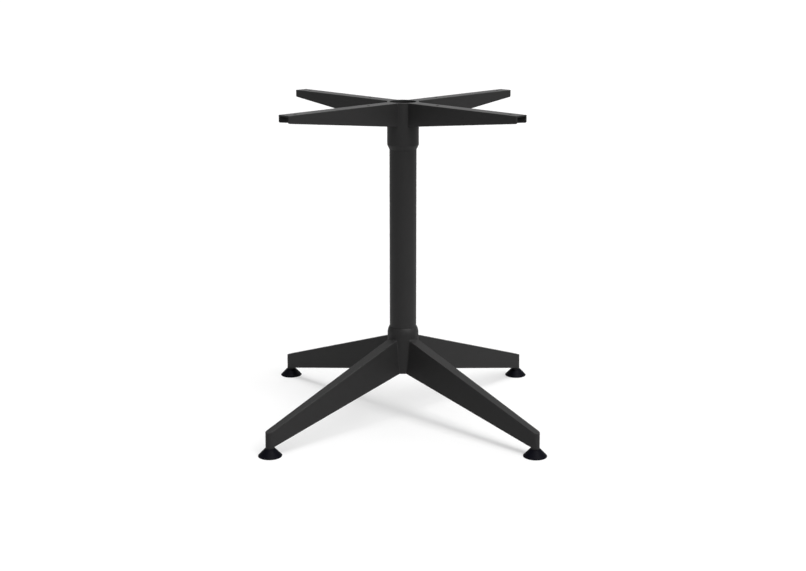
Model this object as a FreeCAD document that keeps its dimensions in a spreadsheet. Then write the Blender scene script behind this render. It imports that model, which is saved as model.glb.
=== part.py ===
# Four star pedestal table base: top spider, column, base star and levelling feet.
# Millimetres. +Z is up, the origin is on the floor on the column's axis,
# and the legs and arms lie along +X, +Y, -X and -Y.
import FreeCAD, Part
import math
import os
import re
import Sketcher

DOCUMENT = "four_star_table_base"
LEG_COUNT = 4

# Driving dimensions: alias, value, meaning.
SIZES = [
    ("overall_height", 715, "floor to the flat top of the spider"),
    ("column_diameter", 60, "outside of the column tube"),
    ("column_wall", 2, "wall of the column tube"),
    ("column_clearance", 0.1, "radial clearance of the tube in both sockets"),
    ("spider_hub_wall", 4.9, "wall of the spider's hub round the tube"),
    ("spider_hub_length", 104.3, "top face to lower lip of the spider's hub"),
    ("spider_lip_height", 9.6, "height of the chamfer on the lower lip"),
    ("spider_lip_step", 4.4, "radial depth of the chamfer on the lower lip"),
    ("spider_recess_step", 0.6, "how far the top recess is narrower than the socket"),
    ("spider_headroom", 6, "free height above the tie rod in the top recess"),
    ("spider_web_thickness", 8, "web that the tie rod clamps at the top"),
    ("arm_reach", 340, "column axis to the open end of an arm"),
    ("arm_width", 32, "outside width of an arm"),
    ("arm_wall", 3, "walls and top flange of an arm"),
    ("arm_tip_depth", 15.8, "depth of an arm at its open end"),
    ("arm_root_depth", 51.3, "depth of an arm where it meets the hub"),
    ("arm_edge_radius", 1.2, "rounding of the top edges of an arm"),
    ("arm_corner_radius", 3, "rounding of the lower corners at the open end"),
    ("arm_root_radius", 3, "fillet between an arm's walls and the hub"),
    ("screw_hole_diameter", 7, "screw holes for the table top"),
    ("inner_hole_radius", 104, "column axis to the inner screw holes"),
    ("outer_hole_inset", 30, "open end of an arm to its outer screw hole"),
    ("base_hub_wall", 4.9, "wall of the star's hub round the tube"),
    ("base_hub_bottom", 102.6, "underside of the star's hub above the floor"),
    ("base_hub_top", 206.5, "top of the star's collar above the floor"),
    ("collar_slope_height", 7.4, "height of the sloping shoulder of the collar"),
    ("collar_lip", 0.7, "flat lip of the collar round the tube"),
    ("collar_radius", 28, "rounding where the shoulder meets the collar"),
    ("base_web_thickness", 10, "web that the tie rod clamps at the bottom"),
    ("base_recess_step", 3.1, "how far the recess under the web is narrower than the socket"),
    ("base_headroom", 8.4, "free height below the tie rod in that recess"),
    ("foot_axis_radius", 394.5, "column axis to a foot's axis"),
    ("leg_root_top", 179.1, "top of a leg above the floor at the hub's face"),
    ("leg_root_depth", 77.9, "depth of a leg at the hub's face"),
    ("leg_tip_depth", 35.2, "depth of a leg at the foot's axis"),
    ("leg_root_width_top", 25.9, "width of a leg's top at the hub's face"),
    ("leg_root_width_bottom", 37, "width of a leg's underside at the hub's face"),
    ("leg_tip_width_top", 18.2, "width of the round leg end at its top"),
    ("leg_tip_width_bottom", 18.8, "width of the round leg end at its underside"),
    ("leg_wall", 4, "walls and roof of the hollow leg"),
    ("leg_edge_radius", 1.2, "rounding of the top edges of a leg"),
    ("leg_root_radius", 4, "fillet between a leg and the hub"),
    ("rib_thickness", 4, "cross ribs inside the hollow leg"),
    ("boss_step", 0.2, "how far the foot boss stands in from the round leg end"),
    ("boss_drop", 3.1, "underside of the leg down to the boss at the foot's axis"),
    ("boss_backing", 4, "solid metal between the boss and the hollow"),
    ("insert_diameter", 12, "outside of the threaded insert"),
    ("insert_length", 22, "length of the threaded insert"),
    ("stud_diameter", 8, "thread of the foot's stud"),
    ("stud_clearance", 0.05, "radial clearance of the stud in its insert"),
    ("stud_relief", 0.5, "radial clearance of the stud above its insert"),
    ("stud_length", 29, "length of stud that stands out of the foot"),
    ("stud_end_gap", 3, "free depth above the end of the stud"),
    ("stud_chamfer", 0.8, "chamfer on the end of the stud"),
    ("stud_head_diameter", 16, "flange of the stud inside the foot"),
    ("stud_head_thickness", 3, "thickness of that flange"),
    ("stud_head_height", 5, "underside of that flange above the floor"),
    ("foot_diameter", 50.8, "widest diameter of a foot"),
    ("foot_neck_diameter", 22.4, "top of a foot's cone"),
    ("foot_height", 16.7, "floor to the top of a foot's cone"),
    ("foot_rim_height", 1.5, "height of the upright rim of a foot"),
    ("foot_edge_radius", 1, "rounding of a foot's lower edge"),
    ("foot_seat_gap", 0.3, "gap between a raised foot and its boss"),
    ("foot_ring_width", 7.4, "ring that a foot stands on"),
    ("foot_recess_depth", 1.5, "depth of the recess inside that ring"),
    ("rod_diameter", 12, "tie rod thread"),
    ("rod_clearance", 0.5, "radial clearance of the rod in the webs and washers"),
    ("rod_chamfer", 1.2, "chamfer on the ends of the tie rod"),
    ("rod_projection", 4, "length of rod that stands past each nut"),
    ("nut_across_flats", 18, "tie rod nut, across the flats"),
    ("nut_height", 10, "tie rod nut"),
    ("nut_clearance", 0.05, "radial clearance of the rod in its nuts"),
    ("nut_chamfer", 1.6, "height of the chamfer on a nut's corners"),
    ("washer_diameter", 30, "flat washer under each nut"),
    ("washer_thickness", 2.5, "flat washer under each nut"),
    ("spring_washer_diameter", 21, "spring washer under each nut"),
    ("spring_washer_thickness", 2.5, "spring washer under each nut"),
    ("spring_washer_slit", 2, "slit in the spring washer"),
]

# How far cutting shapes run past the faces that they open.
OVERCUT = 2
# How far a leg or an arm runs into its hub before the bores are cut.
ROOT_DEPTH = 15
# Cross ribs in each leg.
RIB_COUNT = 2
# Sides of a nut.
HEX_SIDES = 6
# How near a point has to be to count as lying on a line or a plane.
TOUCH = 0.05


def make_sheet(doc):
    """Spreadsheet with one aliased cell for each driving dimension."""
    sheet = doc.addObject("Spreadsheet::Sheet", "sizes")
    for row, (alias, value, meaning) in enumerate(SIZES, start=1):
        sheet.set(f"A{row}", alias)
        sheet.set(f"B{row}", str(value))
        sheet.set(f"C{row}", meaning)
        sheet.setAlias(f"B{row}", alias)
    doc.recompute()
    return sheet


def term(expression):
    """Write an expression in aliases as one in the sheet's cells."""
    aliases = "|".join(alias for alias, value, meaning in SIZES)
    return re.sub(rf"\b({aliases})\b", r"sizes.\1", str(expression))


def bind(thing, prop, expression):
    """Tie one property of an object to the sheet."""
    thing.setExpression(prop, term(expression))


def number(thing, expression):
    """Present value of an expression, for placing geometry before it is bound."""
    value = thing.evalExpression(term(expression))
    return float(getattr(value, "Value", value))


# Places that several pieces share, as expressions in the sheet's sizes.
SOCKET_RADIUS = "(column_diameter / 2 + column_clearance)"
SPIDER_HUB_RADIUS = f"({SOCKET_RADIUS} + spider_hub_wall)"
BASE_HUB_RADIUS = f"({SOCKET_RADIUS} + base_hub_wall)"
ROD_HOLE_RADIUS = "(rod_diameter / 2 + rod_clearance)"
ROD_STACK = "(washer_thickness + spring_washer_thickness + nut_height + rod_projection)"
SPIDER_WEB_TOP = f"(overall_height - spider_headroom - {ROD_STACK})"
SPIDER_WEB_BOTTOM = f"({SPIDER_WEB_TOP} - spider_web_thickness)"
SPIDER_HUB_BOTTOM = "(overall_height - spider_hub_length)"
BASE_WEB_BOTTOM = f"(base_hub_bottom + base_headroom + {ROD_STACK})"
BASE_WEB_TOP = f"({BASE_WEB_BOTTOM} + base_web_thickness)"
BOSS_BOTTOM = "(foot_height + foot_seat_gap)"
LEG_TIP_BOTTOM = f"({BOSS_BOTTOM} + boss_drop)"
LEG_TIP_TOP = f"({LEG_TIP_BOTTOM} + leg_tip_depth)"
LEG_ROOT_BOTTOM = "(leg_root_top - leg_root_depth)"
BOSS_RADIUS = "(leg_tip_width_bottom / 2 - boss_step)"
ARM_START = f"({SPIDER_HUB_RADIUS} - {ROOT_DEPTH})"
LEG_START = f"({BASE_HUB_RADIUS} - {ROOT_DEPTH})"
STUD_TOP = "(foot_height + stud_length)"
STUD_FLANGE_TOP = "(stud_head_height + stud_head_thickness)"


def new_body(doc, label):
    """Empty body whose label names the piece."""
    body = doc.addObject("PartDesign::Body", label)
    body.Label = label
    return body


def origin_item(body, role):
    """One of the body's own origin planes or axes, by its role."""
    return next(item for item in body.Origin.OriginFeatures if item.Role == role)


def new_sketch(body, name, role, offset=None):
    """Sketch on an origin plane, moved along the plane's normal by an expression."""
    sketch = body.newObject("Sketcher::SketchObject", name)
    sketch.AttachmentSupport = [(origin_item(body, role), "")]
    sketch.MapMode = "FlatFace"
    if offset is not None:
        bind(sketch, "AttachmentOffset.Base.z", offset)
    return sketch


def pin_point(sketch, geometry, end, place):
    """Fix a point of the sketch at two expressions."""
    for kind, expression in zip(("DistanceX", "DistanceY"), place):
        value = number(sketch, expression)
        index = sketch.addConstraint(Sketcher.Constraint(kind, -1, 1, geometry, end, value))
        bind(sketch, f"Constraints[{index}]", expression)


def draw_polygon(sketch, corners):
    """Closed outline with straight sides, each corner at two expressions."""
    points = [FreeCAD.Vector(number(sketch, x), number(sketch, y), 0) for x, y in corners]
    lines = []
    for start, end in zip(points, points[1:] + points[:1]):
        lines.append(sketch.addGeometry(Part.LineSegment(start, end), False))
    for line, following in zip(lines, lines[1:] + lines[:1]):
        sketch.addConstraint(Sketcher.Constraint("Coincident", line, 2, following, 1))
    for line, corner in zip(lines, corners):
        pin_point(sketch, line, 1, corner)


def draw_circle(sketch, centre, diameter):
    """Circle with its centre at two expressions and a bound diameter."""
    middle = FreeCAD.Vector(number(sketch, centre[0]), number(sketch, centre[1]), 0)
    circle = Part.Circle(middle, FreeCAD.Vector(0, 0, 1), number(sketch, diameter) / 2)
    index = sketch.addGeometry(circle, False)
    pin_point(sketch, index, 3, centre)
    bound = sketch.addConstraint(Sketcher.Constraint("Diameter", index, number(sketch, diameter)))
    bind(sketch, f"Constraints[{bound}]", diameter)


def add_feature(body, kind, name, profile):
    """PartDesign feature that uses one sketch."""
    feature = body.newObject(f"PartDesign::{kind}", name)
    feature.Profile = (profile, [""])
    return feature


def pad(body, name, profile, length, symmetric=False):
    """Straight extrusion that adds material."""
    feature = add_feature(body, "Pad", name, profile)
    bind(feature, "Length", length)
    feature.SideType = "Symmetric" if symmetric else "One side"
    return feature


def pocket(body, name, profile, length, symmetric=False, upward=False):
    """Straight extrusion that removes material."""
    feature = add_feature(body, "Pocket", name, profile)
    bind(feature, "Length", length)
    feature.SideType = "Symmetric" if symmetric else "One side"
    feature.Reversed = upward
    return feature


def turn(body, kind, name, profile):
    """Full turn about the vertical axis of the sketch."""
    feature = add_feature(body, kind, name, profile)
    feature.ReferenceAxis = (profile, ["V_Axis"])
    feature.Angle = 360
    return feature


def loft(body, kind, name, sections):
    """Ruled loft between two sketches."""
    feature = body.newObject(f"PartDesign::{kind}", name)
    feature.Profile = (sections[0], [""])
    feature.Sections = [(section, [""]) for section in sections[1:]]
    feature.Ruled = True
    return feature


def edge_names(shape, wanted):
    """Names of the edges for which the test holds."""
    return [f"Edge{index}" for index, edge in enumerate(shape.Edges, start=1) if wanted(edge)]


def round_edges(doc, body, name, radius, wanted):
    """Fillet on the edges of the body's tip that pass the test."""
    doc.recompute()
    base = body.Tip
    edges = edge_names(base.Shape, wanted)
    if not edges:
        raise RuntimeError(f"{body.Label}: no edges for {name}")
    feature = body.newObject("PartDesign::Fillet", name)
    feature.Base = (base, edges)
    bind(feature, "Radius", radius)
    doc.recompute()
    return feature


def repeat_round(doc, body, name, count):
    """Repeat the whole body about the vertical axis."""
    doc.recompute()
    feature = body.newObject("PartDesign::PolarPattern", name)
    feature.TransformMode = "Whole shape"
    feature.Axis = (origin_item(body, "Z_Axis"), [""])
    feature.Angle = 360
    feature.Occurrences = count
    body.Tip = feature
    doc.recompute()
    return feature


def turned_piece(doc, label, corners):
    """Piece turned from one closed profile of radius and height."""
    body = new_body(doc, label)
    profile = new_sketch(body, f"{label}_profile", "XZ_Plane")
    draw_polygon(profile, corners)
    turn(body, "Revolution", f"{label}_turned", profile)
    return body


def edge_points(edge):
    """The ends and the middle of an edge."""
    middle = edge.valueAt((edge.FirstParameter + edge.LastParameter) / 2)
    return [vertex.Point for vertex in edge.Vertexes] + [middle]


def sits_at(edge, x=None, y=None, z=None):
    """Whether the ends and the middle of an edge have the given coordinates."""
    wanted = ((0, x), (1, y), (2, z))
    return all(abs(point[axis] - value) < TOUCH
               for point in edge_points(edge) for axis, value in wanted if value is not None)


def column_tube(doc):
    """Steel tube that sits on the star's web and under the spider's web."""
    outer = "column_diameter / 2"
    inner = "(column_diameter / 2 - column_wall)"
    return turned_piece(doc, "column_tube", [
        (inner, BASE_WEB_TOP),
        (outer, BASE_WEB_TOP),
        (outer, SPIDER_WEB_BOTTOM),
        (inner, SPIDER_WEB_BOTTOM),
    ])


def arm_depth(distance):
    """Depth of an arm at a distance from the column's axis."""
    slope = f"(arm_root_depth - arm_tip_depth) / (arm_reach - {SPIDER_HUB_RADIUS})"
    return f"(arm_tip_depth + (arm_reach - {distance}) * {slope})"


def spider_arm(doc, body):
    """One arm: an inverted U whose depth tapers to an open end."""
    start_depth = arm_depth(ARM_START)
    side = new_sketch(body, "arm_side", "XZ_Plane")
    draw_polygon(side, [
        (ARM_START, "overall_height"),
        ("arm_reach", "overall_height"),
        ("arm_reach", "overall_height - arm_tip_depth"),
        (ARM_START, f"overall_height - {start_depth}"),
    ])
    pad(body, "arm_block", side, "arm_width", symmetric=True)

    past_end = f"(arm_reach + {OVERCUT})"
    channel = new_sketch(body, "arm_channel", "XZ_Plane")
    draw_polygon(channel, [
        (ARM_START, "overall_height - arm_wall"),
        (past_end, "overall_height - arm_wall"),
        (past_end, f"overall_height - arm_tip_depth - {OVERCUT}"),
        (ARM_START, f"overall_height - {start_depth} - {OVERCUT}"),
    ])
    pocket(body, "arm_hollow", channel, "arm_width - 2 * arm_wall", symmetric=True)

    holes = new_sketch(body, "screw_hole_places", "XY_Plane", "overall_height")
    draw_circle(holes, ("inner_hole_radius", "0"), "screw_hole_diameter")
    draw_circle(holes, ("arm_reach - outer_hole_inset", "0"), "screw_hole_diameter")
    pocket(body, "screw_holes", holes, f"arm_wall + {OVERCUT}")

    half_width = number(body, "arm_width / 2")
    top = number(body, "overall_height")
    reach = number(body, "arm_reach")
    tip_bottom = number(body, "overall_height - arm_tip_depth")

    def is_top_edge(edge):
        return sits_at(edge, y=half_width, z=top) or sits_at(edge, y=-half_width, z=top)

    def is_lower_corner(edge):
        return sits_at(edge, x=reach, z=tip_bottom)

    round_edges(doc, body, "arm_top_edges", "arm_edge_radius", is_top_edge)
    round_edges(doc, body, "arm_lower_corners", "arm_corner_radius", is_lower_corner)


def top_spider(doc):
    """Casting with four arms and a hub sleeve that holds the top of the column."""
    body = new_body(doc, "top_spider")
    spider_arm(doc, body)
    repeat_round(doc, body, "four_arms", LEG_COUNT)

    hub = new_sketch(body, "hub_outline", "XZ_Plane")
    draw_polygon(hub, [
        ("0", SPIDER_HUB_BOTTOM),
        (f"{SPIDER_HUB_RADIUS} - spider_lip_step", SPIDER_HUB_BOTTOM),
        (SPIDER_HUB_RADIUS, f"{SPIDER_HUB_BOTTOM} + spider_lip_height"),
        (SPIDER_HUB_RADIUS, "overall_height"),
        ("0", "overall_height"),
    ])
    turn(body, "Revolution", "hub", hub)

    bores = new_sketch(body, "hub_bore_outline", "XZ_Plane")
    recess = f"({SOCKET_RADIUS} - spider_recess_step)"
    draw_polygon(bores, [
        ("0", "0"),
        (SOCKET_RADIUS, "0"),
        (SOCKET_RADIUS, SPIDER_WEB_BOTTOM),
        (ROD_HOLE_RADIUS, SPIDER_WEB_BOTTOM),
        (ROD_HOLE_RADIUS, SPIDER_WEB_TOP),
        (recess, SPIDER_WEB_TOP),
        (recess, f"overall_height + {OVERCUT}"),
        ("0", f"overall_height + {OVERCUT}"),
    ])
    turn(body, "Groove", "hub_bores", bores)

    half_width = number(body, "arm_width / 2")
    face = number(body, SPIDER_HUB_RADIUS)
    along = math.sqrt(face ** 2 - half_width ** 2)

    def is_root_edge(edge):
        return any(sits_at(edge, x=sx * x, y=sy * y)
                   for x, y in ((along, half_width), (half_width, along))
                   for sx in (1, -1) for sy in (1, -1))

    round_edges(doc, body, "arm_root_fillets", "arm_root_radius", is_root_edge)
    return body


def leg_line(root, tip, distance):
    """Value at a distance, on a straight line from the hub's face to the foot's axis."""
    share = f"(foot_axis_radius - {distance}) / (foot_axis_radius - {BASE_HUB_RADIUS})"
    return f"({tip} + ({root} - {tip}) * {share})"


def leg_top(distance):
    """Height of a leg's top at a distance from the column's axis."""
    return leg_line("leg_root_top", LEG_TIP_TOP, distance)


def leg_bottom(distance):
    """Height of a leg's underside at a distance from the column's axis."""
    return leg_line(LEG_ROOT_BOTTOM, LEG_TIP_BOTTOM, distance)


def leg_half(distance, height):
    """Half width of a leg, on a straight side from its top edge to its lower edge."""
    top = leg_line("leg_root_width_top", "leg_tip_width_top", distance)
    bottom = leg_line("leg_root_width_bottom", "leg_tip_width_bottom", distance)
    depth = f"({leg_top(distance)} - {leg_bottom(distance)})"
    return f"(({top} + ({bottom} - {top}) * ({leg_top(distance)} - {height}) / {depth}) / 2)"


def leg_section(body, name, distance, floor, roof, inset):
    """Cross section of a leg with sides that have draft, standing in by the inset."""
    section = new_sketch(body, name, "YZ_Plane", distance)
    floor_half = f"({leg_half(distance, floor)} - {inset})"
    roof_half = f"({leg_half(distance, roof)} - {inset})"
    draw_polygon(section, [
        (f"-{floor_half}", floor),
        (floor_half, floor),
        (roof_half, roof),
        (f"-{roof_half}", roof),
    ])
    return section


def star_leg(doc, body):
    """One hollow leg with draft, a sloping top and underside, a round end and a foot boss."""
    sections = []
    for place, distance in (("root", LEG_START), ("tip", "foot_axis_radius")):
        floor = f"({leg_bottom(distance)} - {OVERCUT})"
        roof = f"({leg_top(distance)} + {OVERCUT})"
        sections.append(leg_section(body, f"leg_at_{place}", distance, floor, roof, "0"))
    loft(body, "AdditiveLoft", "leg_block", sections)

    rounds = []
    for place, height in (("low", BOSS_BOTTOM), ("high", f"({LEG_TIP_TOP} + {OVERCUT})")):
        circle = new_sketch(body, f"leg_end_{place}", "XY_Plane", height)
        half_width = leg_half("foot_axis_radius", height)
        draw_circle(circle, ("foot_axis_radius", "0"), f"2 * {half_width}")
        rounds.append(circle)
    loft(body, "AdditiveLoft", "leg_end", rounds)

    before_start = f"({LEG_START} - {OVERCUT})"
    past_tip = f"(foot_axis_radius + leg_tip_width_bottom + {OVERCUT})"
    high = f"({leg_top(before_start)} + 2 * {OVERCUT})"
    trim_width = "(2 * leg_root_width_bottom)"
    above = new_sketch(body, "above_leg", "XZ_Plane")
    draw_polygon(above, [
        (before_start, leg_top(before_start)),
        (past_tip, leg_top(past_tip)),
        (past_tip, high),
        (before_start, high),
    ])
    pocket(body, "leg_top_slope", above, trim_width, symmetric=True)

    below = new_sketch(body, "below_leg", "XZ_Plane")
    draw_polygon(below, [
        (before_start, leg_bottom(before_start)),
        (past_tip, leg_bottom(past_tip)),
        (past_tip, "0"),
        (before_start, "0"),
    ])
    pocket(body, "leg_underside_slope", below, trim_width, symmetric=True)

    is_top_edge = leg_top_edge_test(body)
    round_edges(doc, body, "leg_top_edges", "leg_edge_radius", is_top_edge)
    leg_hollows(body)
    foot_boss(body)


def leg_top_edge_test(body):
    """Test for the long top edges of the leg and the edge round its end."""
    start = number(body, LEG_START)
    axis = number(body, "foot_axis_radius")
    slope = number(body, f"({leg_top('0')} - {LEG_TIP_TOP}) / foot_axis_radius")
    tip_top = number(body, LEG_TIP_TOP)

    def is_top_edge(edge):
        points = edge_points(edge)
        at_start = all(abs(point.x - start) < TOUCH for point in points)
        on_top = all(abs(point.z - tip_top - (axis - point.x) * slope) < TOUCH for point in points)
        return on_top and not at_start

    return is_top_edge


def leg_hollows(body):
    """Open hollows under a leg, one between each pair of cross ribs."""
    first = f"({BASE_HUB_RADIUS} + leg_wall)"
    last = f"(foot_axis_radius - {BOSS_RADIUS} - boss_backing)"
    bays = RIB_COUNT + 1
    bay = f"(({last} - {first} - {RIB_COUNT} * rib_thickness) / {bays})"
    for index in range(bays):
        start = f"({first} + {index} * ({bay} + rib_thickness))"
        end = f"({start} + {bay})"
        sections = []
        for place, distance in (("start", start), ("end", end)):
            floor = f"({leg_bottom(distance)} - {OVERCUT})"
            roof = f"({leg_top(distance)} - leg_wall)"
            name = f"hollow_{index + 1}_{place}"
            sections.append(leg_section(body, name, distance, floor, roof, "leg_wall"))
        loft(body, "SubtractiveLoft", f"hollow_{index + 1}", sections)


def foot_boss(body):
    """Round boss under the leg end, bored for the insert and the stud."""
    outline = new_sketch(body, "boss_outline", "XY_Plane", BOSS_BOTTOM)
    draw_circle(outline, ("foot_axis_radius", "0"), f"2 * {BOSS_RADIUS}")
    pad(body, "boss", outline, "boss_drop + leg_wall")

    insert = new_sketch(body, "insert_bore_outline", "XY_Plane", BOSS_BOTTOM)
    draw_circle(insert, ("foot_axis_radius", "0"), "insert_diameter")
    pocket(body, "insert_bore", insert, "insert_length", upward=True)

    relief = new_sketch(body, "stud_bore_outline", "XY_Plane", BOSS_BOTTOM)
    draw_circle(relief, ("foot_axis_radius", "0"), "stud_diameter + 2 * stud_relief")
    pocket(body, "stud_bore", relief, f"{STUD_TOP} + stud_end_gap - {BOSS_BOTTOM}", upward=True)


def base_star(doc):
    """Casting with four legs and a hub that holds the foot of the column."""
    body = new_body(doc, "base_star")
    star_leg(doc, body)
    repeat_round(doc, body, "four_legs", LEG_COUNT)

    hub = new_sketch(body, "hub_outline", "XZ_Plane")
    shoulder = "(base_hub_top - collar_slope_height)"
    draw_polygon(hub, [
        ("0", "base_hub_bottom"),
        (BASE_HUB_RADIUS, "base_hub_bottom"),
        (BASE_HUB_RADIUS, shoulder),
        (f"{SOCKET_RADIUS} + collar_lip", "base_hub_top"),
        ("0", "base_hub_top"),
    ])
    turn(body, "Revolution", "hub", hub)

    shoulder_height = number(body, shoulder)

    def is_shoulder(edge):
        return sits_at(edge, z=shoulder_height)

    round_edges(doc, body, "collar_rounding", "collar_radius", is_shoulder)

    face = number(body, BASE_HUB_RADIUS)
    hub_bottom = number(body, "base_hub_bottom")
    axis = number(body, "foot_axis_radius")
    top, tip_top = number(body, leg_top("0")), number(body, LEG_TIP_TOP)
    bottom, tip_bottom = number(body, leg_bottom("0")), number(body, LEG_TIP_BOTTOM)

    def is_leg_root(edge):
        points = edge_points(edge)
        shares = [max(abs(point.x), abs(point.y)) / axis for point in points]
        on_face = all(abs(math.hypot(point.x, point.y) - face) < TOUCH for point in points)
        under_top = all(point.z < top + (tip_top - top) * share + TOUCH
                        for point, share in zip(points, shares))
        over_bottom = any(point.z > max(hub_bottom, bottom + (tip_bottom - bottom) * share) + TOUCH
                          for point, share in zip(points, shares))
        return on_face and under_top and over_bottom

    round_edges(doc, body, "leg_root_fillets", "leg_root_radius", is_leg_root)

    bores = new_sketch(body, "hub_bore_outline", "XZ_Plane")
    recess = f"({SOCKET_RADIUS} - base_recess_step)"
    draw_polygon(bores, [
        ("0", "0"),
        (recess, "0"),
        (recess, BASE_WEB_BOTTOM),
        (ROD_HOLE_RADIUS, BASE_WEB_BOTTOM),
        (ROD_HOLE_RADIUS, BASE_WEB_TOP),
        (SOCKET_RADIUS, BASE_WEB_TOP),
        (SOCKET_RADIUS, "overall_height"),
        ("0", "overall_height"),
    ])
    turn(body, "Groove", "hub_bores", bores)
    return body


def flat_washer(doc, label, bottom):
    """Flat washer with its underside at a height."""
    top = f"({bottom} + washer_thickness)"
    return turned_piece(doc, label, [
        (ROD_HOLE_RADIUS, bottom),
        ("washer_diameter / 2", bottom),
        ("washer_diameter / 2", top),
        (ROD_HOLE_RADIUS, top),
    ])


def spring_washer(doc, label, bottom):
    """Split spring washer, pressed flat, with its underside at a height."""
    top = f"({bottom} + spring_washer_thickness)"
    body = turned_piece(doc, label, [
        (ROD_HOLE_RADIUS, bottom),
        ("spring_washer_diameter / 2", bottom),
        ("spring_washer_diameter / 2", top),
        (ROD_HOLE_RADIUS, top),
    ])
    slit = new_sketch(body, f"{label}_slit_outline", "XZ_Plane")
    draw_polygon(slit, [
        ("rod_diameter / 4", f"{bottom} - {OVERCUT}"),
        ("spring_washer_diameter", f"{bottom} - {OVERCUT}"),
        ("spring_washer_diameter", f"{top} + {OVERCUT}"),
        ("rod_diameter / 4", f"{top} + {OVERCUT}"),
    ])
    pocket(body, f"{label}_slit", slit, "spring_washer_slit", symmetric=True)
    return body


def hex_nut(doc, label, bottom):
    """Hexagon nut with its underside at a height and chamfered corners."""
    body = new_body(doc, label)
    outline = new_sketch(body, f"{label}_outline", "XY_Plane", bottom)
    flat_radius = "(nut_across_flats / 2)"
    corner_radius = f"({flat_radius} / cos({180 / HEX_SIDES} deg))"
    corners = []
    for index in range(HEX_SIDES):
        angle = f"({360 / HEX_SIDES * index} deg)"
        corners.append((f"{corner_radius} * cos{angle}", f"{corner_radius} * sin{angle}"))
    draw_polygon(outline, corners)
    draw_circle(outline, ("0", "0"), "rod_diameter + 2 * nut_clearance")
    pad(body, f"{label}_block", outline, "nut_height")

    chamfer = new_sketch(body, f"{label}_chamfer_outline", "XZ_Plane")
    outside = f"({corner_radius} + {OVERCUT})"
    slope = f"nut_chamfer / ({corner_radius} - {flat_radius})"
    drop = f"({outside} - {flat_radius}) * {slope}"
    for level, sign in ((bottom, 1), (f"({bottom} + nut_height)", -1)):
        draw_polygon(chamfer, [
            (flat_radius, level),
            (outside, f"{level} + {sign} * {drop}"),
            (outside, f"{level} - {sign} * {OVERCUT}"),
            (flat_radius, f"{level} - {sign} * {OVERCUT}"),
        ])
    turn(body, "Groove", f"{label}_chamfer", chamfer)
    return body


def tie_rod(doc):
    """Threaded rod through the column, with a nut at each end."""
    bottom = f"({BASE_WEB_BOTTOM} - {ROD_STACK})"
    top = f"({SPIDER_WEB_TOP} + {ROD_STACK})"
    radius = "(rod_diameter / 2)"
    return turned_piece(doc, "tie_rod", [
        ("0", bottom),
        (f"{radius} - rod_chamfer", bottom),
        (radius, f"{bottom} + rod_chamfer"),
        (radius, f"{top} - rod_chamfer"),
        (f"{radius} - rod_chamfer", top),
        ("0", top),
    ])


def rod_fasteners(doc):
    """Washers and nuts at both ends of the tie rod."""
    top_spring = f"({SPIDER_WEB_TOP} + washer_thickness)"
    base_washer_bottom = f"({BASE_WEB_BOTTOM} - washer_thickness)"
    base_spring = f"({base_washer_bottom} - spring_washer_thickness)"
    return [
        flat_washer(doc, "top_washer", SPIDER_WEB_TOP),
        spring_washer(doc, "top_spring_washer", top_spring),
        hex_nut(doc, "top_nut", f"({top_spring} + spring_washer_thickness)"),
        flat_washer(doc, "base_washer", base_washer_bottom),
        spring_washer(doc, "base_spring_washer", base_spring),
        hex_nut(doc, "base_nut", f"({base_spring} - nut_height)"),
    ]


def place_at_foot(body, index):
    """Move a piece from the column's axis to one of the foot axes."""
    angle = 360 / LEG_COUNT * index
    body.Placement.Rotation = FreeCAD.Rotation(FreeCAD.Vector(0, 0, 1), angle)
    bind(body, "Placement.Base.x", f"foot_axis_radius * cos({angle} deg)")
    bind(body, "Placement.Base.y", f"foot_axis_radius * sin({angle} deg)")
    return body


def leg_insert(doc, index):
    """Threaded steel insert in a leg's boss."""
    bore = "(stud_diameter / 2 + stud_clearance)"
    outside = "(insert_diameter / 2)"
    top = f"({BOSS_BOTTOM} + insert_length)"
    body = turned_piece(doc, f"leg_insert_{index + 1}", [
        (bore, BOSS_BOTTOM),
        (outside, BOSS_BOTTOM),
        (outside, top),
        (bore, top),
    ])
    return place_at_foot(body, index)


def foot_stud(doc, index):
    """Threaded stud with a flange that is moulded into the foot."""
    shank = "(stud_diameter / 2)"
    flange = "(stud_head_diameter / 2)"
    body = turned_piece(doc, f"foot_stud_{index + 1}", [
        ("0", "stud_head_height"),
        (flange, "stud_head_height"),
        (flange, STUD_FLANGE_TOP),
        (shank, STUD_FLANGE_TOP),
        (shank, f"{STUD_TOP} - stud_chamfer"),
        (f"{shank} - stud_chamfer", STUD_TOP),
        ("0", STUD_TOP),
    ])
    return place_at_foot(body, index)


def foot_pad(doc, index):
    """Conical foot, moulded round the flange of its stud."""
    label = f"foot_pad_{index + 1}"
    edge = "(foot_diameter / 2)"
    neck = "(foot_neck_diameter / 2)"
    body = turned_piece(doc, label, [
        ("0", "foot_recess_depth"),
        (f"{edge} - foot_ring_width", "foot_recess_depth"),
        (f"{edge} - foot_ring_width", "0"),
        (edge, "0"),
        (edge, "foot_rim_height"),
        (neck, "foot_height"),
        ("0", "foot_height"),
    ])
    edge_radius = number(body, edge)
    round_edges(doc, body, f"{label}_lower_edge", "foot_edge_radius",
                lambda rim: sits_at(rim, z=0) and rim.BoundBox.XMax > edge_radius - OVERCUT)
    cavity = new_sketch(body, f"{label}_cavity_outline", "XZ_Plane")
    draw_polygon(cavity, [
        ("0", "stud_head_height"),
        ("stud_head_diameter / 2", "stud_head_height"),
        ("stud_head_diameter / 2", STUD_FLANGE_TOP),
        ("stud_diameter / 2", STUD_FLANGE_TOP),
        ("stud_diameter / 2", f"foot_height + {OVERCUT}"),
        ("0", f"foot_height + {OVERCUT}"),
    ])
    turn(body, "Groove", f"{label}_cavity", cavity)
    return place_at_foot(body, index)


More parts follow.
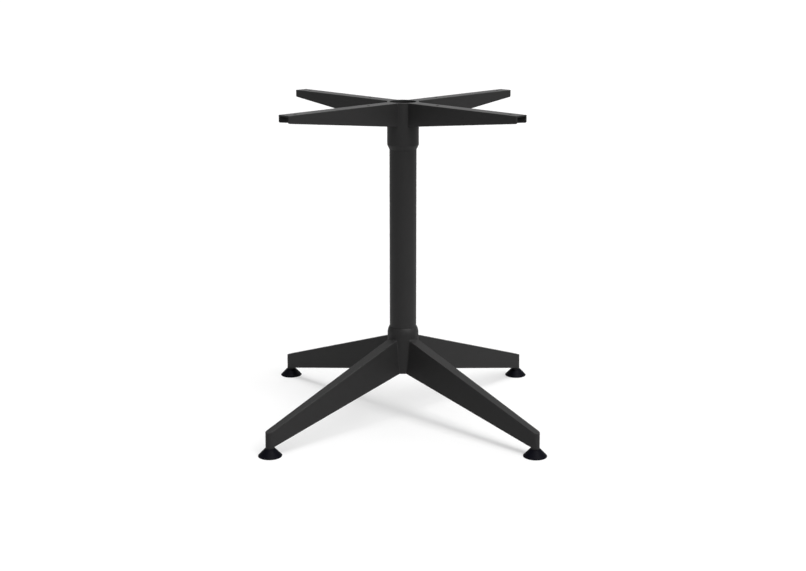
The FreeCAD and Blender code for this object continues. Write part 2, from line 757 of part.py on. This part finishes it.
def build_pieces(doc):
    """Every piece of the table base, as one body each."""
    pieces = [top_spider(doc), column_tube(doc), base_star(doc), tie_rod(doc)]
    pieces += rod_fasteners(doc)
    for index in range(LEG_COUNT):
        pieces.append(leg_insert(doc, index))
        pieces.append(foot_stud(doc, index))
        pieces.append(foot_pad(doc, index))
    return pieces


def check_document(doc, pieces):
    """Stop if any feature failed or any piece is not one valid solid."""
    for thing in doc.Objects:
        if {"Invalid", "Error"} & set(thing.State):
            raise RuntimeError(f"{thing.Label} failed: {thing.State}")
    for piece in pieces:
        shape = piece.Shape
        if shape.isNull() or not shape.isValid() or len(shape.Solids) != 1:
            raise RuntimeError(f"{piece.Label} is not one valid solid")


def main():
    doc = FreeCAD.newDocument(DOCUMENT)
    make_sheet(doc)
    pieces = build_pieces(doc)
    doc.recompute()
    check_document(doc, pieces)
    os.makedirs("parts", exist_ok=True)
    for piece in pieces:
        piece.Shape.exportStep(f"parts/{piece.Label}.step")
        box = piece.Shape.BoundBox
        print(f"{piece.Label}: {piece.Shape.Volume:.0f} mm3, "
              f"z {box.ZMin:.2f} to {box.ZMax:.2f}, faces {len(piece.Shape.Faces)}")


main()
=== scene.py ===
import math

import bmesh
import bpy
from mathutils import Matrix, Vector


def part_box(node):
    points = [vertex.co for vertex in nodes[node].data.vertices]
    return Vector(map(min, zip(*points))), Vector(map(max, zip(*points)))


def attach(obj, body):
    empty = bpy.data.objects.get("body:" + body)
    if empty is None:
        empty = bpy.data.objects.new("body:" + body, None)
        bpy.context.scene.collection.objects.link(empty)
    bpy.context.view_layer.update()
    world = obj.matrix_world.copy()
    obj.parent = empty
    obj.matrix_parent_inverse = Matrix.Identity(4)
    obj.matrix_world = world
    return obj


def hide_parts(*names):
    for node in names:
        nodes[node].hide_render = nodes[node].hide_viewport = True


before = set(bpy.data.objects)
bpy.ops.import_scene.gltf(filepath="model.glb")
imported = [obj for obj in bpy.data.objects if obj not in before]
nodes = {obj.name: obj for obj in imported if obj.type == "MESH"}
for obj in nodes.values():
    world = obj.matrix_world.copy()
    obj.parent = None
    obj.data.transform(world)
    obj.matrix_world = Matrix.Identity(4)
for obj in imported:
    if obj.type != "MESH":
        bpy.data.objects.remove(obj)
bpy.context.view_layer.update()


# shader arithmetic

class Wire:  # one output socket that can be used in an expression
    def __init__(self, socket):
        self.socket = socket

    def join(self, operation, left, right):
        tree = self.socket.id_data
        onVectors = any(isinstance(v, Wire) and v.socket.type == "VECTOR" for v in (left, right))
        made = tree.nodes.new("ShaderNodeVectorMath" if onVectors else "ShaderNodeMath")
        made.operation = operation
        for slot, value in zip(made.inputs, (left, right)):
            if isinstance(value, Wire):
                tree.links.new(value.socket, slot)
            elif onVectors and not hasattr(value, "__len__"):
                slot.default_value = (value, value, value)
            else:
                slot.default_value = value
        return Wire(made.outputs["Value" if operation == "DOT_PRODUCT" else 0])

    def __add__(self, other):
        return self.join("ADD", self, other)

    def __radd__(self, other):
        return self.join("ADD", other, self)

    def __sub__(self, other):
        return self.join("SUBTRACT", self, other)

    def __rsub__(self, other):
        return self.join("SUBTRACT", other, self)

    def __mul__(self, other):
        return self.join("MULTIPLY", self, other)

    def __rmul__(self, other):
        return self.join("MULTIPLY", other, self)

    def __matmul__(self, other):
        return self.join("DOT_PRODUCT", self, other)


class Finish:  # the node tree of one finish, or of the studio's light
    def __init__(self, name, owner=None):
        self.owner = owner or bpy.data.materials.new(name)
        self.owner.use_nodes = True
        self.tree = self.owner.node_tree
        self.tree.nodes.clear()

    def node(self, kind, settings=None, sockets=None, out=0):
        made = self.tree.nodes.new(kind)
        for key, value in (settings or {}).items():
            setattr(made, key, value)
        for key, value in (sockets or {}).items():
            if isinstance(value, Wire):
                self.tree.links.new(value.socket, made.inputs[key])
            else:
                made.inputs[key].default_value = value
        return Wire(made.outputs[out]) if len(made.outputs) else made

    def blend(self, factor, first, second):  # colours
        return self.node("ShaderNodeMix", {"data_type": "RGBA"}, {0: factor, 6: first, 7: second}, 2)

    def step(self, value, low, high):  # 0 below low, 1 above high, smooth between
        return self.node("ShaderNodeMapRange", {"interpolation_type": "SMOOTHSTEP"},
                         {"Value": value, "From Min": low, "From Max": high})

    def noise(self, place, scale, detail=2.0, roughness=0.5):
        return self.node("ShaderNodeTexNoise", None,
                         {"Vector": place, "Scale": scale, "Detail": detail, "Roughness": roughness})


def grey(value, tint=(1, 1, 1)):
    return (value * tint[0], value * tint[1], value * tint[2], 1)


# powder coat on the castings and on the tube

def coatFinish(name, coat):
    paint = Finish(name)
    place = paint.node("ShaderNodeTexCoord", out="Object")
    facing = paint.node("ShaderNodeNewGeometry", out="Normal")
    rounded = paint.node("ShaderNodeBevel", {"samples": 4}, {"Radius": coat["edgeRadius"]})
    edge = paint.step(1 - rounded @ facing, coat["edgeFrom"], coat["edgeFull"])
    cloud = paint.noise(place, coat["cloudScale"], 3.0)
    rubPatch = paint.step(paint.noise(place, coat["rubScale"], 4.0, 0.6), coat["rubFrom"], coat["rubFull"])
    speck = paint.noise(place, coat["speckScale"], 1.0)
    peel = paint.noise(place * coat["peelStretch"], coat["peelScale"], 2.0)
    fine = paint.noise(place, coat["fineScale"], 2.0, 0.6)
    # painted shade: where ambient occlusion finds other surfaces close by, in corners, creases and the joints
    # between parts, the base colour is darkened towards a near-black tone; this stands in for shade, not dirt
    clear = paint.node("ShaderNodeAmbientOcclusion", {"samples": 8}, {"Distance": coat["paintedShadeReach"]}, "AO")
    paintedShade = paint.step(1 - clear, coat["paintedShadeFrom"], coat["paintedShadeFull"]) * coat["paintedShade"]
    rub = edge * rubPatch * coat["rub"]
    body = paint.blend(cloud, grey(coat["dark"], coat["tint"]), grey(coat["light"], coat["tint"]))
    specks = paint.step(speck, coat["speckFrom"], coat["speckFull"]) * coat["speck"]
    body = paint.blend(specks, body, grey(coat["speckTone"]))
    # the painted corner shade goes into the base colour here
    body = paint.blend(paintedShade, body, grey(coat["paintedShadeTone"]))
    colour = paint.blend(rub, body, grey(coat["rubTone"]))
    rough = coat["roughness"] + (cloud - 0.5) * coat["roughSpread"]
    rough = rough + (fine - 0.5) * coat["fineRough"] - rub * coat["rubSmooth"]
    height = peel * coat["peelShare"] + fine * (1 - coat["peelShare"])
    bump = paint.node("ShaderNodeBump", None, {"Strength": coat["bump"], "Distance": coat["bumpDepth"],
                                               "Height": height, "Normal": rounded})
    shader = paint.node("ShaderNodeBsdfPrincipled", None,
                        {"Base Color": colour, "Roughness": rough, "Normal": bump,
                         "IOR": coat["ior"], "Specular IOR Level": 0.5})
    paint.node("ShaderNodeOutputMaterial", None, {"Surface": shader})
    return paint.owner


spiderCoat = {
    "edgeRadius": 0.0009, "cloudScale": 9.0, "rubScale": 38.0, "speckScale": 1500.0,
    "peelScale": 420.0, "peelStretch": (1.0, 1.0, 1.0), "fineScale": 2300.0,
    "dark": 0.019, "light": 0.026, "tint": (1.015, 0.993, 1.0),
    "speck": 0.25, "speckTone": 0.05, "speckFrom": 0.62, "speckFull": 0.74,
    "edgeFrom": 0.02, "edgeFull": 0.2, "rub": 0.5, "rubTone": 0.07, "rubFrom": 0.5, "rubFull": 0.68,
    # the next line sets the painted corner shade: how far the occlusion looks, where it starts and is full,
    # its strength and its dark tone
    "paintedShadeReach": 0.02, "paintedShadeFrom": 0.12, "paintedShadeFull": 0.5, "paintedShade": 0.85, "paintedShadeTone": 0.004,
    "roughness": 0.47, "roughSpread": 0.10, "fineRough": 0.08, "rubSmooth": 0.1, "peelShare": 0.45,
    "bump": 0.35, "bumpDepth": 0.0001, "ior": 1.42,
}
# the tube's and the star's coats differ from the spider's; the tube's painted corner shade reaches less far,
# and the star's reaches further to darken its leg sides towards the hub
tubeCoat = dict(spiderCoat, peelStretch=(1.0, 1.0, 0.55), peelScale=300.0, roughness=0.44,
                edgeRadius=0.0006, rub=0.3, bump=0.25, paintedShadeReach=0.008)
starCoat = dict(spiderCoat, cloudScale=7.0, peelScale=360.0, roughness=0.53, bump=0.42,
                dark=0.0172, light=0.0236, paintedShadeReach=0.035)

coats = {
    "top_spider": coatFinish("spiderPowderCoat", spiderCoat),
    "column_tube": coatFinish("tubePowderCoat", tubeCoat),
    "base_star": coatFinish("starPowderCoat", starCoat),
}
for name, coat in coats.items():
    nodes[name].data.materials.clear()
    nodes[name].data.materials.append(coat)
print("powder coat on", ", ".join(coats))


# moulded plastic of the levelling feet

footLook = {
    "dark": 0.0027, "light": 0.0048, "tint": (0.95, 0.96, 1.8), "roughness": 0.5, "ior": 1.15,
    "fineScale": 1900.0, "dustTone": 0.05, "dustHeight": 0.004, "dust": 0.12,
    "edgeRadius": 0.0008, "flowScale": 60.0, "dustScale": 240.0, "flowRough": 0.16, "dustRough": 0.2,
    "bump": 0.3, "bumpDepth": 0.00006,
}


def footFinish(look):
    plastic = Finish("footPlastic")
    place = plastic.node("ShaderNodeTexCoord", out="Object")
    height = plastic.node("ShaderNodeSeparateXYZ", None, {"Vector": place}, "Z")
    rounded = plastic.node("ShaderNodeBevel", {"samples": 4}, {"Radius": look["edgeRadius"]})
    flow = plastic.noise(place, look["flowScale"], 3.0)
    fine = plastic.noise(place, look["fineScale"], 2.0)
    dust = plastic.noise(place, look["dustScale"], 3.0)
    dust = (1 - plastic.step(height, 0.0, look["dustHeight"])) * dust
    body = plastic.blend(flow, grey(look["dark"], look["tint"]), grey(look["light"], look["tint"]))
    colour = plastic.blend(dust * look["dust"], body, grey(look["dustTone"]))
    rough = look["roughness"] + (flow - 0.5) * look["flowRough"] + dust * look["dustRough"]
    bump = plastic.node("ShaderNodeBump", None, {"Strength": look["bump"], "Distance": look["bumpDepth"],
                                                 "Height": fine, "Normal": rounded})
    shader = plastic.node("ShaderNodeBsdfPrincipled", None,
                          {"Base Color": colour, "Roughness": rough, "Normal": bump, "IOR": look["ior"]})
    plastic.node("ShaderNodeOutputMaterial", None, {"Surface": shader})
    return plastic.owner


footPlastic = footFinish(footLook)
for number in range(1, 5):
    pad = nodes[f"foot_pad_{number}"]
    pad.data.materials.clear()
    pad.data.materials.append(footPlastic)
print("plastic on the feet")


# zinc on the fasteners

zincLook = {
    "dark": 0.30, "light": 0.52, "tint": (1.0, 1.0, 1.03), "roughness": 0.34,
    "grainScale": 900.0, "stain": 0.35, "stainTone": 0.16, "stainFrom": 0.52, "stainFull": 0.7,
    "edgeRadius": 0.0003, "patchScale": 130.0, "stainScale": 70.0,
    "grainRough": 0.2, "stainRough": 0.25, "stainDull": 0.4, "bump": 0.2, "bumpDepth": 0.00004,
}


def zincFinish(look):
    zinc = Finish("zincPlate")
    place = zinc.node("ShaderNodeTexCoord", out="Object")
    rounded = zinc.node("ShaderNodeBevel", {"samples": 4}, {"Radius": look["edgeRadius"]})
    patch = zinc.noise(place, look["patchScale"], 3.0)
    grain = zinc.noise(place, look["grainScale"], 2.0, 0.6)
    stain = zinc.noise(place, look["stainScale"], 4.0, 0.6)
    stain = zinc.step(stain, look["stainFrom"], look["stainFull"]) * look["stain"]
    plate = zinc.blend(patch, grey(look["dark"], look["tint"]), grey(look["light"], look["tint"]))
    colour = zinc.blend(stain, plate, grey(look["stainTone"]))
    rough = look["roughness"] + (grain - 0.5) * look["grainRough"] + stain * look["stainRough"]
    bump = zinc.node("ShaderNodeBump", None, {"Strength": look["bump"], "Distance": look["bumpDepth"],
                                              "Height": grain, "Normal": rounded})
    shader = zinc.node("ShaderNodeBsdfPrincipled", None,
                       {"Base Color": colour, "Metallic": 1.0 - stain * look["stainDull"],
                        "Roughness": rough, "Normal": bump})
    zinc.node("ShaderNodeOutputMaterial", None, {"Surface": shader})
    return zinc.owner


zincPlate = zincFinish(zincLook)
plated = ["top_washer", "top_spring_washer", "top_nut",
          "base_washer", "base_spring_washer", "base_nut", "tie_rod"]
plated += [f"leg_insert_{n}" for n in range(1, 5)] + [f"foot_stud_{n}" for n in range(1, 5)]
for name in plated:
    nodes[name].data.materials.clear()
    nodes[name].data.materials.append(zincPlate)
print("zinc on", len(plated), "fasteners")


# screw threads

def addRing(mesh, radius, height, sides):
    return [mesh.verts.new((radius * math.cos(2 * math.pi * s / sides),
                            radius * math.sin(2 * math.pi * s / sides), height)) for s in range(sides)]


def skin(mesh, rings, closed=True):  # side faces between rings, and both end caps
    for lower, upper in zip(rings, rings[1:]):
        for s in range(len(lower)):
            t = (s + 1) % len(lower)
            mesh.faces.new((lower[s], lower[t], upper[t], upper[s]))
    if closed:
        mesh.faces.new(list(reversed(rings[0])))
        mesh.faces.new(rings[-1])


ridge = {"rootTo": 0.18, "crestFrom": 0.46, "crestTo": 0.64}  # shares of one pitch


def addThread(mesh, cut, bottom, top):  # a helical ridge from bottom to top, with a chamfer at each free end
    pitch, sides = cut["pitch"], cut["sides"]
    crest, root = cut["crest"], cut["crest"] - cut["depth"]
    profile = [(0.0, root), (ridge["rootTo"], root), (ridge["crestFrom"], crest), (ridge["crestTo"], crest)]
    turns = math.ceil((top - bottom) / pitch) + 2
    rows = []
    for turn in range(turns):
        for share, radius in profile:
            row = []
            for s in range(sides):
                z = bottom + (turn - 1 + share + s / sides) * pitch
                z = min(max(z, bottom), top)
                r = radius
                if cut["pointTop"]:
                    r = min(r, root - cut["nose"] + (top - z))
                if cut["pointBottom"]:
                    r = min(r, root - cut["nose"] + (z - bottom))
                a = 2 * math.pi * s / sides
                row.append(mesh.verts.new((r * math.cos(a), r * math.sin(a), z)))
            rows.append(row)
    step = len(profile)
    for i in range(len(rows) - 1):
        for s in range(sides):
            if s + 1 < sides:
                corners = (rows[i][s], rows[i][s + 1], rows[i + 1][s + 1], rows[i + 1][s])
            elif i + step + 1 < len(rows):  # past the last side the next turn goes on
                corners = (rows[i][s], rows[i + step][0], rows[i + step + 1][0], rows[i + 1][s])
            else:
                continue
            mesh.faces.new(corners)


def closeEnds(mesh, height):  # a fan over the open rim that lies at this height
    rim = [e for e in mesh.edges if e.is_boundary and all(abs(v.co.z - height) < 1e-6 for v in e.verts)]
    hub = mesh.verts.new((0, 0, height))
    for e in rim:
        mesh.faces.new((e.verts[0], e.verts[1], hub))


def finishPiece(mesh, name, material, place=(0, 0, 0), sharp=35):
    bmesh.ops.remove_doubles(mesh, verts=mesh.verts, dist=1e-7)
    bmesh.ops.dissolve_degenerate(mesh, dist=1e-7, edges=mesh.edges)
    bmesh.ops.recalc_face_normals(mesh, faces=mesh.faces)
    data = bpy.data.meshes.new(name)
    mesh.to_mesh(data)
    mesh.free()
    for face in data.polygons:
        face.use_smooth = True
    data.set_sharp_from_angle(angle=math.radians(sharp))
    data.materials.append(material)
    piece = bpy.data.objects.new(name, data)
    piece.location = place
    bpy.context.scene.collection.objects.link(piece)
    return piece


studCut = {"pitch": 0.00125, "crest": 0.00397, "depth": 0.00068, "sides": 28, "nose": 0.0001,
           "pointTop": True, "pointBottom": False}
flange = {"radius": 0.008, "thickness": 0.003, "sides": 40}


def levellingStud(number):
    low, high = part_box(f"foot_stud_{number}")
    centre = (low + high) / 2
    mesh = bmesh.new()
    disc = [addRing(mesh, r, z, flange["sides"]) for r, z in
            ((flange["radius"], low.z), (flange["radius"], low.z + flange["thickness"]))]
    skin(mesh, disc)
    addThread(mesh, studCut, low.z + flange["thickness"], high.z)
    closeEnds(mesh, high.z)
    stud = finishPiece(mesh, f"levelling_stud_{number}", zincPlate, (centre.x, centre.y, 0))
    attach(stud, f"foot_{number}")
    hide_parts(f"foot_stud_{number}")
    return stud


for number in range(1, 5):
    levellingStud(number)
print("threads on the feet's studs")

rodCut = {"pitch": 0.00175, "crest": 0.00597, "depth": 0.00095, "sides": 40, "nose": 0.0006,
          "pointTop": True, "pointBottom": True}
rodLook = {"threadLength": 0.045, "shankRadius": 0.0054, "overlap": 0.001}


def clampRod():
    low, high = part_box("tie_rod")
    mesh = bmesh.new()
    addThread(mesh, dict(rodCut, pointTop=False), low.z, low.z + rodLook["threadLength"])
    addThread(mesh, dict(rodCut, pointBottom=False), high.z - rodLook["threadLength"], high.z)
    shank = [addRing(mesh, rodLook["shankRadius"], z, rodCut["sides"]) for z in
             (low.z + rodLook["threadLength"] - rodLook["overlap"],
              high.z - rodLook["threadLength"] + rodLook["overlap"])]
    skin(mesh, shank)
    closeEnds(mesh, low.z)
    closeEnds(mesh, high.z)
    rod = finishPiece(mesh, "clamp_rod", zincPlate)
    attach(rod, "frame")
    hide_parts("tie_rod")
    return rod


clampRod()
print("threads on the clamp rod")


# floor, light and camera

floorLook = {"tone": 0.58, "glow": 0.44, "bounceNear": 0.52, "bounceFar": 0.36, "nearReach": 0.8,
             "farReach": 3.0, "rings": (60.0, 4.0, 1.0), "mottleScale": 3.0, "mottle": 0.01, "roughness": 0.9}


def layFloor():
    mesh = bmesh.new()
    rings = [addRing(mesh, r, 0.0, 64) for r in floorLook["rings"]]
    skin(mesh, rings, closed=False)
    mesh.faces.new(rings[-1])
    pale = Finish("paleFloor")
    place = pale.node("ShaderNodeTexCoord", out="Object")
    mottle = pale.noise(place, floorLook["mottleScale"], 3.0)
    seen = pale.node("ShaderNodeLightPath", out="Is Camera Ray")
    tone = pale.blend(mottle, grey(floorLook["tone"] - floorLook["mottle"]),
                      grey(floorLook["tone"] + floorLook["mottle"]))
    away = pale.step(pale.node("ShaderNodeVectorMath", {"operation": "LENGTH"}, {0: place}, "Value"),
                     floorLook["nearReach"], floorLook["farReach"])
    bounce = pale.blend(away, grey(floorLook["bounceNear"]), grey(floorLook["bounceFar"]))
    tone = pale.blend(seen, bounce, tone)
    glow = pale.blend(seen, grey(0.0), grey(floorLook["glow"]))  # a lit table lifts its own shadows
    shader = pale.node("ShaderNodeBsdfPrincipled", None,
                       {"Base Color": tone, "Roughness": floorLook["roughness"], "Specular IOR Level": 0.0,
                        "Emission Color": glow, "Emission Strength": 1.0})
    below = pale.node("ShaderNodeNewGeometry", out="Backfacing")  # clear from below, to show the undersides
    oneSided = pale.node("ShaderNodeMixShader", None,
                         {0: below, 1: shader, 2: pale.node("ShaderNodeBsdfTransparent")})
    pale.node("ShaderNodeOutputMaterial", None, {"Surface": oneSided})
    floor = finishPiece(mesh, "floor", pale.owner)
    if floor.data.polygons[0].normal.z < 0:
        floor.data.flip_normals()
    return floor


layFloor()

skyLook = {
    "dim": 0.24, "bright": 0.46, "towards": (0.62, -0.75, 0.25),
    "sideFrom": -0.8, "sideFull": 0.9, "shown": 1.0,
    "backTone": 0.85, "backWay": (0.7, 0.7, 0.12), "backFrom": 0.72,
    "stripTone": 5.2, "stripHalfWidth": 0.22, "stripCentre": -0.34, "stripHalfLength": 0.52,
    "stripBlur": 0.08, "stripLift": 0.1,
}


# even light all round, brighter on one side, with one long soft strip from overhead to the front
def lightRoom():
    world = bpy.data.worlds.new("studio")
    bpy.context.scene.world = world
    room = Finish("studio", world)
    way = room.node("ShaderNodeTexCoord", out="Generated")
    side = room.step(way @ Vector(skyLook["towards"]).normalized(), skyLook["sideFrom"], skyLook["sideFull"])
    tone = room.blend(side, grey(skyLook["dim"]), grey(skyLook["bright"]))
    back = room.step(way @ Vector(skyLook["backWay"]).normalized(), skyLook["backFrom"], 1.0)
    tone = room.blend(back, tone, grey(skyLook["backTone"]))
    blur = skyLook["stripBlur"]
    inside = room.step(way @ Vector((0, 0, 1)), 0.0, skyLook["stripLift"])
    for across, centre, half in (((1, 0, 0), 0.0, skyLook["stripHalfWidth"]),
                                 ((0, 1, 0), skyLook["stripCentre"], skyLook["stripHalfLength"])):
        offset = room.node("ShaderNodeMath", {"operation": "ABSOLUTE"}, {0: way @ Vector(across) - centre})
        inside = inside * (1 - room.step(offset, half - blur, half + blur))
    tone = room.blend(inside, tone, grey(skyLook["stripTone"]))
    seen = room.node("ShaderNodeLightPath", out="Is Camera Ray")
    tone = room.blend(seen, tone, grey(skyLook["shown"]))  # plain white where the view passes the floor
    shader = room.node("ShaderNodeBackground", None, {"Color": tone, "Strength": 1.0})
    room.node("ShaderNodeOutputWorld", None, {"Surface": shader})


lightRoom()
print("floor and light set")

view = {"distance": 3.08408, "height": 1.08067, "azimuth": math.radians(-135) + 0.00329, "pitch": 0.22188,
        "focal": 1412.10, "frameWidth": 806, "frameHeight": 571, "horizonRow": 248.648}
camera = bpy.data.cameras.new("view")
camera.sensor_width = 36.0
camera.lens = view["focal"] / view["frameWidth"] * camera.sensor_width
camera.shift_y = -(view["frameHeight"] / 2 - view["horizonRow"]) / view["frameWidth"]
camera.clip_start, camera.clip_end = 0.05, 200.0
eye = bpy.data.objects.new("view", camera)
eye.location = (view["distance"] * math.cos(view["azimuth"]), view["distance"] * math.sin(view["azimuth"]),
                view["height"])
eye.rotation_euler = (math.pi / 2 - view["pitch"], 0, view["azimuth"] + math.pi / 2)
bpy.context.scene.collection.objects.link(eye)
bpy.context.scene.camera = eye
bpy.context.scene.view_settings.view_transform = "Standard"
bpy.context.scene.view_settings.look = "None"
print("camera set")
